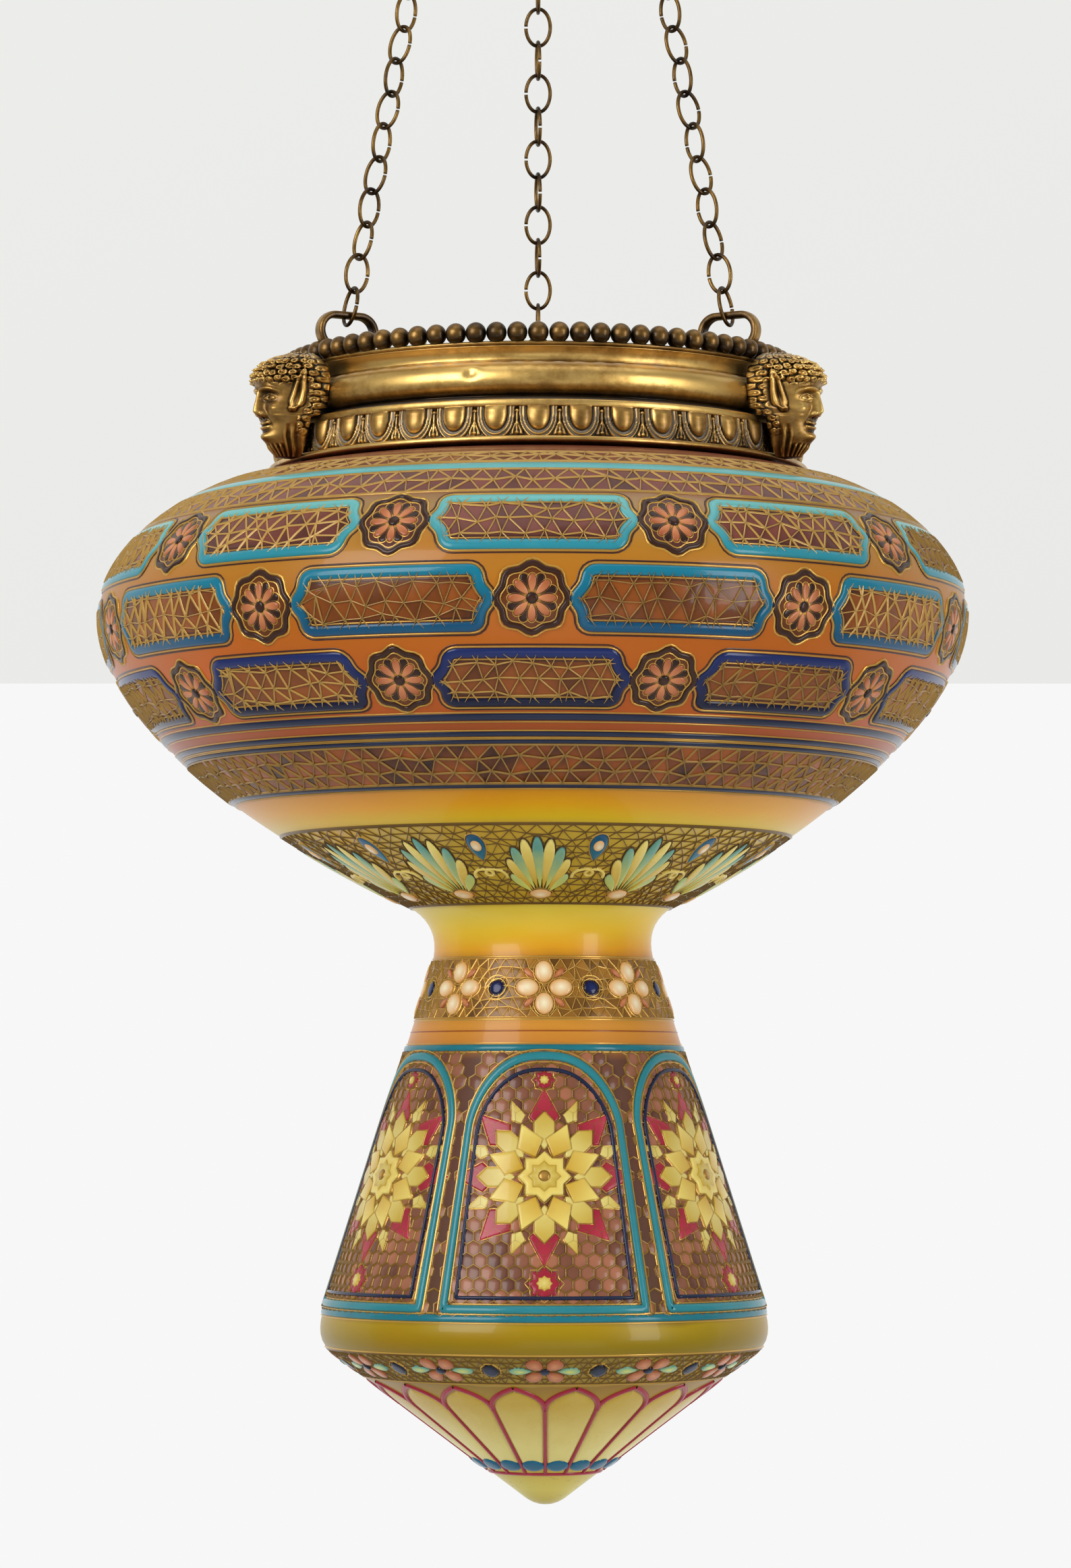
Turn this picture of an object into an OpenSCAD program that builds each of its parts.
// Hanging mosque lamp: enamelled glass vessel in a gilt-bronze collar on three chains.
// Millimetres. The origin is the centre of the hanging eye's bore, Z is up, the front is -Y.

/* [Glass vessel] */
// Largest outer radius of the bowl
bowl_r = 201.4; // [170:0.2:230]
// Wall of the blown glass
glass_wall = 4; // [3:0.5:6]
// Depth of the bowl's widest line under the collar
bowl_drop = 69.5; // [60:0.5:90]
// Outer radius at the waist
waist_r = 49.6; // [40:0.5:60]
// Depth of the waist under the collar
waist_drop = 221; // [205:0.5:240]
// Outer radius of the ridge round the lower cone
ridge_r = 103.3; // [85:0.5:120]
// Depth of the ridge under the collar
ridge_drop = 398; // [360:1:430]
// Depth of the pointed foot under the collar
tip_drop = 478.8; // [460:0.5:520]

/* [Collar] */
// Radius of the circle of beads, from which every collar ring derives
collar_r = 116; // [108:0.5:124]
// Radius of one bead
bead_r = 4.3; // [3:0.1:4.4]
// Number of beads
bead_count = 78; // [60:1:80]
// Height of the egg-and-dart frieze
egg_h = 13.9; // [12:0.1:18]
// Number of eggs
egg_count = 40; // [30:1:42]
// Section radius of the large torus
torus_r = 8; // [6:0.1:10]
// Height of the cove between torus and beads
cove_h = 6.2; // [5:0.1:12]
// Thickness of the collar's inner flanges
flange_t = 3; // [2:0.1:4]

/* [Loops and chains] */
// Width of the loop's strap
strap_w = 6.4; // [5:0.1:7]
// Thickness of the loop's strap
strap_t = 3.4; // [2.6:0.1:4]
// Length of one link over its wire
link_l = 19.6; // [18:0.1:24]
// Width of one link over its wire
link_w = 13.6; // [13:0.1:16]
// Wire thickness of a link
link_wire = 1.8; // [1.4:0.1:2.2]
// Links in each chain, an odd number
link_count = 25; // [11:2:33]
// Radius on which the crown's lugs stand
lug_r = 21; // [19:0.5:30]

/* [Hanger] */
// Radius of the bore that takes the ceiling hook
hook_bore_r = 8; // [5:0.5:10]
// Thickness of the hanging eye
eye_t = 6; // [4:0.5:8]
// Radius of the hanging ring's wire circle
ring_r = 14; // [12:0.5:20]
// Wire radius of the hanging ring
ring_wire_r = 2; // [1.5:0.1:2.5]

/* [Oil cup] */
// Outer radius of the oil cup
cup_r = 43.5; // [30:0.5:46]
// Depth of the oil cup
cup_depth = 78; // [50:1:100]
// Wall of the oil cup
cup_wall = 2.5; // [2:0.1:4]
// Radius of the wick
wick_r = 2; // [1:0.1:2.5]

/* [Fits] */
// Gap between pieces that move on each other
running_gap = 0.35; // [0.3:0.05:0.5]
// Gap between fixed pieces
fixed_gap = 0.2; // [0.1:0.05:0.3]

/* [Hidden] */
$fn = 96;

// Places round the axis: left, right, back.
az = [210, 330, 90];

// Collar levels over its lower edge, and radii from the circle of beads.
fillet_h = 2.4;
band_top = egg_h + 2.9;
groove_h = 2.5;
torus_z = band_top + groove_h + torus_r;
cove_z = torus_z + torus_r;
deck_z = cove_z + cove_h;
rim_z = deck_z + flange_t;
bead_z = rim_z + 0.7 * bead_r;
neck_r = collar_r - 11;
bore_r = neck_r + 3.5;
skirt_r = collar_r - 0.7;
torus_out = collar_r + 3;
band_out = collar_r + 10;
mouth_r = collar_r - 36;

// Egg-and-dart frieze: a wall that leans back, eggs of two spheres, their shells and the darts.
wall_low_r = collar_r + 5.6;
wall_lean = 2;
egg_top_r = 5.1;
egg_low_r = 4.7;
egg_foot = 0.7;
egg_axis_r = collar_r + 5.1;
shell_r = 7.2;
shell_up = 0.7;
dart_w = 2.2;
// The ring's seam lies between a shell and a dart.
seam_a = (asin(shell_r / wall_low_r) + 180 / egg_count - asin(0.71 * dart_w / wall_low_r)) / 2;

// Glass mouth and the plaster that holds it.
lip_out = 2.5;
mouth_z = deck_z - flange_t - 8;
bed_z = 8;
bed_gap = 6;

// Loops: a stadium of strap standing on a foot.
strap_half = 9.2;
strap_side = 6.3;
bead_clear = 4.4;
loop_r = collar_r - bead_r - strap_side - bead_clear;
foot_h = 4;
loop_z = rim_z + foot_h + strap_half;
stud_r = 2.5;
stud_end = deck_z - flange_t - 5.5;
nut_h = 4.5;

// Link centre line: half circles joined by straight sides.
wire_r = link_wire / 2;
half_l = link_l / 2 - wire_r;
end_r = link_w / 2 - wire_r;
end_c = half_l - end_r;
pitch = 2 * half_l - link_wire - running_gap / 2;

// The strap seats in the bottom link's bow, so the chain starts below the strap.
bow_in = end_r - wire_r;
strap_fit = strap_w / 2 + running_gap;
seat = end_r - sqrt(bow_in * bow_in - strap_fit * strap_fit) + running_gap;
strap_under = loop_z + strap_half - strap_t;
chain_z0 = strap_under - seat;
chain_l = (link_count - 1) * pitch + 2 * half_l;
chain_h = sqrt(chain_l * chain_l - (loop_r - lug_r) * (loop_r - lug_r));
lean = asin((loop_r - lug_r) / chain_l);

// Levels of the hanger, down from the bore.
eye_rim = 6;
low_bore_r = ring_wire_r + 1.6;
low_bore_z = -hook_bore_r - eye_rim - low_bore_r - 1.4;
sag = eye_t * eye_t / (8 * ring_r);
ring_top_z = low_bore_z - (low_bore_r - ring_wire_r - running_gap - sag - 0.2);
ring_z = ring_top_z - ring_r;
crown_t = 5;
crown_hole_r = ring_wire_r + 1.4;
crown_sag = crown_t * crown_t / (8 * ring_r);
crown_eye_z = ring_z - ring_r - (crown_hole_r - ring_wire_r - running_gap - crown_sag - 0.2);
crown_eye_out = crown_hole_r + 3.6;
bell_top = crown_eye_z - crown_eye_out + 1;
bell_h = 24;
bell_r = lug_r + 5;
lug_t = 3;
lug_hole_r = wire_r + 1.6;
lug_out = lug_hole_r + 2.3;
lug_z = bell_top - bell_h - lug_out + 1;
chain_top_z = lug_z - (lug_hole_r - wire_r - running_gap - lug_t * lug_t / (8 * end_r));

// Height of the bore over the collar's lower edge.
hang_h = chain_z0 + chain_h - chain_top_z;

// Oil cup in its cradle.
cradle_t = 2;
cradle_z = rim_z + fixed_gap;
cup_lip_z = cradle_z + cradle_t + fixed_gap;
cup_lip_t = 2.5;
holder_z = cup_lip_z + cup_lip_t + fixed_gap;
holder_t = 1.2;
holder_w = 8;
holder_over = 3;
clip_h = 7;
clip_t = 1.2;
tube_in = wick_r + running_gap;
tube_wall = 1.2;
tube_half = 8;
wick_up = 13;

// Rim screws and mask studs.
screw_r = 1.5;
screw_pitch_r = collar_r - 10;
pin_r = 1.6;
pin_turn = [-3.4, 3.4];

// Outline of the glass, from the neck to the foot, as points of Bezier arcs and lines.
function bez(a, b, c, d, n) = [for (i = [0 : n - 1]) let (t = i / n)
  a * pow(1 - t, 3) + 3 * b * t * pow(1 - t, 2) + 3 * c * t * t * (1 - t) + d * pow(t, 3)];
shoulder_z = -fillet_h - 0.4;
tip_rad = 15;
ridge_low = [ridge_r - 4.3, -ridge_drop - 9.8];
foot_a = 90 - atan((ridge_low[0]) / (tip_drop + 0.26 * tip_rad + ridge_low[1]));
outline = concat(
  [[neck_r, mouth_z], [neck_r, mouth_z - 3 - lip_out]],
  bez([neck_r, 7], [neck_r, 1], [neck_r + 1, shoulder_z], [neck_r + 6, shoulder_z - 0.2], 5),
  bez([neck_r + 6, shoulder_z - 0.2], [0.785 * bowl_r, shoulder_z - 1.6], [bowl_r, -0.52 * bowl_drop],
    [bowl_r, -bowl_drop], 16),
  bez([bowl_r, -bowl_drop], [bowl_r, -bowl_drop - 44.5], [waist_r + 85, -waist_drop + 53],
    [waist_r + 14.2, -waist_drop + 18.7], 22),
  bez([waist_r + 14.2, -waist_drop + 18.7], [waist_r + 0.2, -waist_drop + 12],
    [waist_r - 1.8, -waist_drop + 1], [waist_r + 3.2, -waist_drop - 12.5], 10),
  [[waist_r + 3.2, -waist_drop - 12.5]],
  bez([ridge_r - 1.5, -ridge_drop + 9], [ridge_r + 0.4, -ridge_drop + 3], [ridge_r + 1.6, -ridge_drop - 5.3],
    ridge_low, 8),
  [ridge_low],
  [for (i = [0 : 4]) let (a = foot_a * (1 - i / 4)) [tip_rad * sin(a), -tip_drop + tip_rad * (1 - cos(a))]]);
last = len(outline) - 1;
function along(i) = i == 0 ? [0, -1] : i == last ? [-1, 0] : outline[i + 1] - outline[i - 1];
function inset(i, w) = let (d = along(i), u = d / norm(d)) outline[i] + w * [u[1], -u[0]];
lip = [[neck_r + lip_out, mouth_z], [neck_r + lip_out, mouth_z - 3]];
glass_section = concat(lip, [for (i = [1 : last]) outline[i]],
  [for (i = [last : -1 : 0]) i == last ? [0, outline[i][1] + glass_wall] : inset(i, glass_wall)]);

// Mask: rows of a head section, wrapped by a back that follows the collar.
mask_z0 = -2.2;
mask_z1 = bead_z - 2;
mask_rows = 27;
mask_cols = 26;
mask_back_cols = 5;
half_width = [[0, 4.5], [0.08, 7.5], [0.18, 9.5], [0.3, 12.2], [0.45, 14.4], [0.6, 15.6], [0.74, 16.8],
  [0.84, 15.6], [0.91, 13.2], [0.96, 10], [1, 5]];
front_line = [[0, 11], [0.08, 14.5], [0.18, 17], [0.3, 17.2], [0.45, 18.6], [0.6, 19.4], [0.72, 21.2],
  [0.82, 19.6], [0.9, 15.6], [0.96, 9.5], [1, 3]];
function bump(v, c, w) = exp(-pow((v - c) / w, 2));
function twin(v, c, w) = bump(v, c, w) + bump(v, -c, w);
// Heights over the plain head: nose, brow, eye sockets, lids, cheeks, lips, chin, ears, curls, beard.
function relief(x, p, t) =
  4.6 * bump(x, 0, 2.4 + 2 * max(0, 0.46 - t)) * bump(t, 0.42, 0.06)
  + 2.6 * bump(x, 0, 1.8) * bump(t, 0.52, 0.07)
  + 1.5 * twin(x, 5.4, 4) * bump(t, 0.63, 0.035) - 2 * twin(x, 5.6, 2.6) * bump(t, 0.565, 0.035)
  + 1 * twin(x, 5.6, 1.8) * bump(t, 0.56, 0.02) + 1.2 * twin(x, 8, 3.4) * bump(t, 0.42, 0.07)
  + 1.5 * bump(x, 0, 4) * (bump(t, 0.31, 0.018) + bump(t, 0.265, 0.02))
  - 0.8 * bump(x, 0, 4) * bump(t, 0.288, 0.01)
  + 1.6 * bump(x, 0, 4.5) * bump(t, 0.19, 0.045)
  + 4.5 * twin(p, 68, 12) * bump(t, 0.57, 0.08) - 2 * twin(p, 62, 6) * bump(t, 0.56, 0.05)
  + (t > 0.68 ? 1.7 * cos(p * 9) * cos((t - 0.68) * 2250) : 0)
  + (t < 0.15 ? 1 * cos(p * 8 + t * 900) : 0);
function back_r(z) = z < 15.5 * egg_h / 13.9 ? band_out + 1 : z < band_top + 2 ? band_out - 3.4
  : z < deck_z - 3 ? torus_out + 0.6 : collar_r + bead_r + 0.6;
function mask_row(i) = let (
    t = i / (mask_rows - 1),
    z = mask_z0 + (mask_z1 - mask_z0) * t,
    a = lookup(t, half_width),
    rb = back_r(z),
    side = sqrt(rb * rb - a * a),
    f = band_out + lookup(t, front_line) - side)
  concat(
    [for (j = [0 : mask_cols]) let (
        p = -90 + 180 * j / mask_cols,
        h = relief(a * sin(p), p, t) * min(1, 3 * cos(p)))
      [(a + h) * sin(p), side + f * pow(max(cos(p), 0), 0.75) + h * cos(p), z]],
    [for (j = [1 : mask_back_cols]) let (x = a * (1 - 2 * j / (mask_back_cols + 1)))
      [x, sqrt(rb * rb - x * x), z]]);
ring_n = mask_cols + 1 + mask_back_cols;

module ring(section) {
  rotate_extrude() polygon(section);
}

module drum(r, z0, z1) {
  translate([0, 0, z0]) cylinder(r = r, h = z1 - z0);
}

// A cylinder that points outward along the given direction.
module radial_pin(a, z, r, r0, r1) {
  rotate([0, 0, a]) translate([r0, 0, z]) rotate([0, 90, 0]) cylinder(r = r, h = r1 - r0);
}

module at(a, r) {
  rotate([0, 0, a]) translate([r, 0, 0]) children();
}

module lamp() {
  translate([0, 0, -hang_h]) children();
}

// A plate lying across Y with its middle on the XZ plane.
module across_y(r, t, z) {
  translate([0, t / 2, z]) rotate([90, 0, 0]) cylinder(r = r, h = t);
}

module hanging_eye() {
  color([0.62, 0.47, 0.2]) difference() {
    union() {
      across_y(hook_bore_r + eye_rim, eye_t, 0);
      across_y(low_bore_r + 4.4, eye_t, low_bore_z);
      translate([-low_bore_r, -eye_t / 2, low_bore_z])
        cube([2 * low_bore_r, eye_t, -low_bore_z - hook_bore_r - 1]);
    }
    across_y(hook_bore_r, 2 * eye_t, 0);
    across_y(low_bore_r, 2 * eye_t, low_bore_z);
  }
}

module hanging_ring() {
  color([0.62, 0.47, 0.2]) translate([0, 0, ring_z]) rotate([0, 90, 0])
    rotate_extrude() translate([ring_r, 0]) circle(r = ring_wire_r);
}

module chain_crown() {
  color([0.6, 0.45, 0.19]) difference() {
    union() {
      across_y(crown_eye_out, crown_t, crown_eye_z);
      translate([0, 0, bell_top]) ring([[0, 1.5], [5, 1.5], [6.5, -1], [5, -4], [8, -6], [14, -9],
        [lug_r - 2, -14], [bell_r - 2, 5 - bell_h], [bell_r, 4 - bell_h], [bell_r, -bell_h], [0, -bell_h]]);
      for (a = az) at(a, lug_r) {
        across_y(lug_out, lug_t, lug_z);
        translate([-lug_out + 1, -lug_t / 2, lug_z]) cube([2 * lug_out - 2, lug_t, lug_out + 2]);
      }
    }
    across_y(crown_hole_r, 2 * crown_t, crown_eye_z);
    for (a = az) at(a, lug_r) across_y(lug_hole_r, 2 * lug_t, lug_z);
  }
}

// One link in the XY plane, its length along Y.
module link() {
  for (s = [0, 180]) rotate([0, 0, s]) {
    translate([0, end_c, 0]) rotate_extrude(angle = 180) translate([end_r, 0]) circle(r = wire_r, $fn = 24);
    translate([end_r, end_c, 0]) rotate([90, 0, 0]) cylinder(r = wire_r, h = 2 * end_c, $fn = 24);
  }
}

// Links alternate by a quarter turn, with a slow extra twist that vanishes at both ends.
module chain(a, sway) {
  color([0.58, 0.43, 0.18]) for (k = [0 : link_count - 1]) let (s = half_l + k * pitch)
    at(a, loop_r - s * sin(lean)) translate([0, 0, chain_z0 + s * cos(lean)])
      rotate([0, -lean, 0]) rotate([0, 0, 90 * (k % 2) + sway * sin(360 * k / (link_count - 1))])
        rotate([90, 0, 90]) link();
}

module chain_left() {
  lamp() chain(az[0], 24);
}

module chain_right() {
  lamp() chain(az[1], -24);
}

module chain_back() {
  lamp() chain(az[2], 10);
}

module stadium(r) {
  for (s = [-1, 1]) translate([s * strap_side, 0]) circle(r = r);
  square([2 * strap_side, 2 * r], center = true);
}

module loop(a) {
  color([0.6, 0.45, 0.19]) at(a, loop_r) {
    translate([0, strap_w / 2, loop_z]) rotate([90, 0, 0]) linear_extrude(strap_w) difference() {
      stadium(strap_half);
      stadium(strap_half - strap_t);
    }
    drum(4.6, rim_z + fixed_gap, rim_z + foot_h + 1);
    drum(stud_r, stud_end, rim_z + foot_h + 1);
  }
}

module loop_left() {
  lamp() loop(az[0]);
}

module loop_right() {
  lamp() loop(az[1]);
}

module loop_back() {
  lamp() loop(az[2]);
}

module loop_nuts() {
  color([0.55, 0.42, 0.2]) lamp() for (a = az) at(a, loop_r) difference() {
    translate([0, 0, deck_z - flange_t - fixed_gap - nut_h]) cylinder(r = 5, h = nut_h, $fn = 6);
    drum(stud_r + fixed_gap, 0, deck_z);
  }
}

module stud_holes() {
  for (a = az) at(a, loop_r) drum(stud_r + fixed_gap, 0, rim_z + 1);
  for (k = [0 : 5]) at(60 * k, screw_pitch_r) drum(screw_r + fixed_gap, 0, rim_z + 1);
}

module bead_rim() {
  color([0.64, 0.49, 0.22]) lamp() difference() {
    union() {
      ring([[mouth_r, deck_z + fixed_gap], [collar_r - 1.5, deck_z + fixed_gap],
        [collar_r + 3.2, rim_z - 1.6], [collar_r + 3.2, rim_z], [mouth_r, rim_z]]);
      for (k = [0 : bead_count - 1]) at(270 + 360 * k / bead_count, collar_r)
        translate([0, 0, bead_z]) sphere(r = bead_r);
    }
    stud_holes();
  }
}

module rim_screws() {
  color([0.5, 0.4, 0.2]) lamp() for (k = [0 : 5]) at(60 * k, screw_pitch_r) {
    drum(screw_r, deck_z - flange_t, rim_z + 1);
    drum(2.8, rim_z + fixed_gap, rim_z + 1.8);
  }
}

module collar_band() {
  color([0.62, 0.47, 0.2]) lamp() difference() {
    union() {
      ring([[bore_r, 0.3], [skirt_r, 0.3], [skirt_r, band_top + fixed_gap],
        [collar_r - 1.4, band_top + fixed_gap], [collar_r - 1.4, cove_z + 0.6],
        [collar_r - 0.4, cove_z + 0.6], [collar_r - 0.4, cove_z + 1.4], [collar_r - 1.7, cove_z + 2.4],
        [collar_r - 2, cove_z + 0.55 * cove_h], [collar_r - 1.2, deck_z - 1.8],
        [collar_r + 0.6, deck_z - 1], [collar_r + 0.6, deck_z],
        [mouth_r + 10, deck_z], [mouth_r + 10, deck_z - flange_t], [bore_r, deck_z - flange_t]]);
      translate([0, 0, torus_z]) rotate_extrude() translate([torus_out - torus_r, 0]) circle(r = torus_r);
    }
    drum(bore_r, 0, deck_z - flange_t);
    stud_holes();
    for (a = az, p = pin_turn) radial_pin(a + p, torus_z, pin_r + fixed_gap, bore_r - 2, band_out);
  }
}

// A ball with its poles to the side, clear of the edges where it meets its neighbours.
module ball(r, z) {
  translate([egg_axis_r, 0, z]) rotate([0, 90, 0]) rotate([0, 0, 40]) sphere(r = r);
}

// One egg on the raised shell behind it, at the front of a ring.
module egg() {
  ball(egg_low_r, egg_foot + egg_low_r);
  ball(egg_top_r, egg_h - egg_top_r);
  radial_pin(0, egg_h / 2, shell_r, skirt_r + 1, wall_low_r + shell_up);
}

// The dart between two eggs: an upright square bar, one edge outward.
module dart() {
  translate([collar_r + 3.7, 0, 2]) rotate([0, 0, 45])
    translate([-dart_w / 2, -dart_w / 2, 0]) cube([dart_w, dart_w, egg_h - 1]);
}

module egg_and_dart_band() {
  color([0.6, 0.45, 0.19]) lamp() {
    rotate([0, 0, seam_a]) ring([[skirt_r + fixed_gap, -fillet_h], [band_out - 1, -fillet_h],
      [band_out, -fillet_h + 0.8], [band_out, -0.5], [band_out - 0.8, 0], [wall_low_r, 0],
      [wall_low_r - wall_lean, egg_h], [collar_r + 5.5, egg_h], [collar_r + 5.5, band_top],
      [skirt_r + fixed_gap, band_top]]);
    for (k = [0 : egg_count - 1]) rotate([0, 0, 270 + 360 * k / egg_count]) {
      egg();
      rotate([0, 0, 180 / egg_count]) dart();
    }
  }
}

module plaster_bed() {
  color([0.86, 0.84, 0.78]) lamp() ring([[neck_r + fixed_gap, bed_z], [bore_r - fixed_gap, bed_z],
    [bore_r - fixed_gap, mouth_z - bed_gap], [neck_r + fixed_gap, mouth_z - bed_gap]]);
}

module mask(a) {
  color([0.64, 0.5, 0.24]) rotate([0, 0, a - 90]) difference() {
    polyhedron(
      points = [for (i = [0 : mask_rows - 1]) each mask_row(i)],
      faces = concat(
        [[for (j = [ring_n - 1 : -1 : 0]) j]],
        [[for (j = [0 : ring_n - 1]) (mask_rows - 1) * ring_n + j]],
        [for (i = [0 : mask_rows - 2], j = [0 : ring_n - 1]) let (k = (j + 1) % ring_n)
          [i * ring_n + j, i * ring_n + k, (i + 1) * ring_n + k]],
        [for (i = [0 : mask_rows - 2], j = [0 : ring_n - 1]) let (k = (j + 1) % ring_n)
          [i * ring_n + j, (i + 1) * ring_n + k, (i + 1) * ring_n + j]]));
    for (p = pin_turn) radial_pin(90 + p, torus_z, pin_r + fixed_gap, bore_r, band_out + 3);
  }
}

module mask_left() {
  lamp() mask(az[0]);
}

module mask_right() {
  lamp() mask(az[1]);
}

module mask_back() {
  lamp() mask(az[2]);
}

module mask_studs() {
  color([0.5, 0.4, 0.2]) lamp() for (a = az, p = pin_turn)
    radial_pin(a + p, torus_z, pin_r, bore_r + 0.4, band_out + 2.6);
}

module glass_vessel() {
  color([0.79, 0.54, 0.17]) lamp() ring(glass_section);
}

module cup_cradle() {
  color([0.6, 0.46, 0.22]) lamp() difference() {
    union() {
      ring([[mouth_r - 4, cradle_z], [mouth_r + 4, cradle_z], [mouth_r + 4, cradle_z + cradle_t],
        [mouth_r - 4, cradle_z + cradle_t]]);
      ring([[mouth_r - 4, cradle_z - 4], [mouth_r - fixed_gap - 0.2, cradle_z - 4],
        [mouth_r - fixed_gap - 0.2, cradle_z + 1], [mouth_r - 4, cradle_z + 1]]);
      drum(cup_r + 9, cradle_z, cradle_z + cradle_t);
      for (k = [0 : 2]) rotate([0, 0, 30 + 120 * k])
        translate([cup_r + 4, -4, cradle_z]) cube([mouth_r - cup_r - 5, 8, cradle_t]);
    }
    drum(cup_r + running_gap, 0, cradle_z + 10);
  }
}

module oil_cup() {
  color([0.8, 0.86, 0.84]) lamp() ring([[0, cup_lip_z - cup_depth], [cup_r - 6, cup_lip_z - cup_depth],
    [cup_r, cup_lip_z - cup_depth + 6], [cup_r, cup_lip_z], [cup_r + 4.5, cup_lip_z],
    [cup_r + 4.5, cup_lip_z + cup_lip_t], [cup_r - cup_wall, cup_lip_z + cup_lip_t],
    [cup_r - cup_wall, cup_lip_z - cup_depth + 7], [cup_r - 7, cup_lip_z - cup_depth + cup_wall + 0.5],
    [0, cup_lip_z - cup_depth + cup_wall + 0.5]]);
}

module wick_holder() {
  inner = cup_r - cup_wall - running_gap;
  color([0.62, 0.48, 0.22]) lamp() difference() {
    union() {
      translate([-cup_r - holder_over, -holder_w / 2, holder_z])
        cube([2 * (cup_r + holder_over), holder_w, holder_t]);
      for (s = [-1, 1]) translate([s * (inner - 2) - clip_t / 2, -holder_w / 2, holder_z - clip_h])
        cube([clip_t, holder_w, clip_h + holder_t / 2]);
      drum(tube_in + tube_wall, holder_z - tube_half, holder_z + tube_half);
    }
    drum(tube_in, 0, holder_z + 2 * tube_half);
  }
}

module wick() {
  color([0.9, 0.87, 0.78]) lamp() drum(wick_r, cup_lip_z - cup_depth + cup_wall + 4, holder_z + wick_up);
}

hanging_eye();
hanging_ring();
chain_crown();
chain_left();
chain_right();
chain_back();
loop_left();
loop_right();
loop_back();
loop_nuts();
bead_rim();
rim_screws();
collar_band();
egg_and_dart_band();
plaster_bed();
mask_left();
mask_right();
mask_back();
mask_studs();
glass_vessel();
cup_cradle();
oil_cup();
wick_holder();
wick();
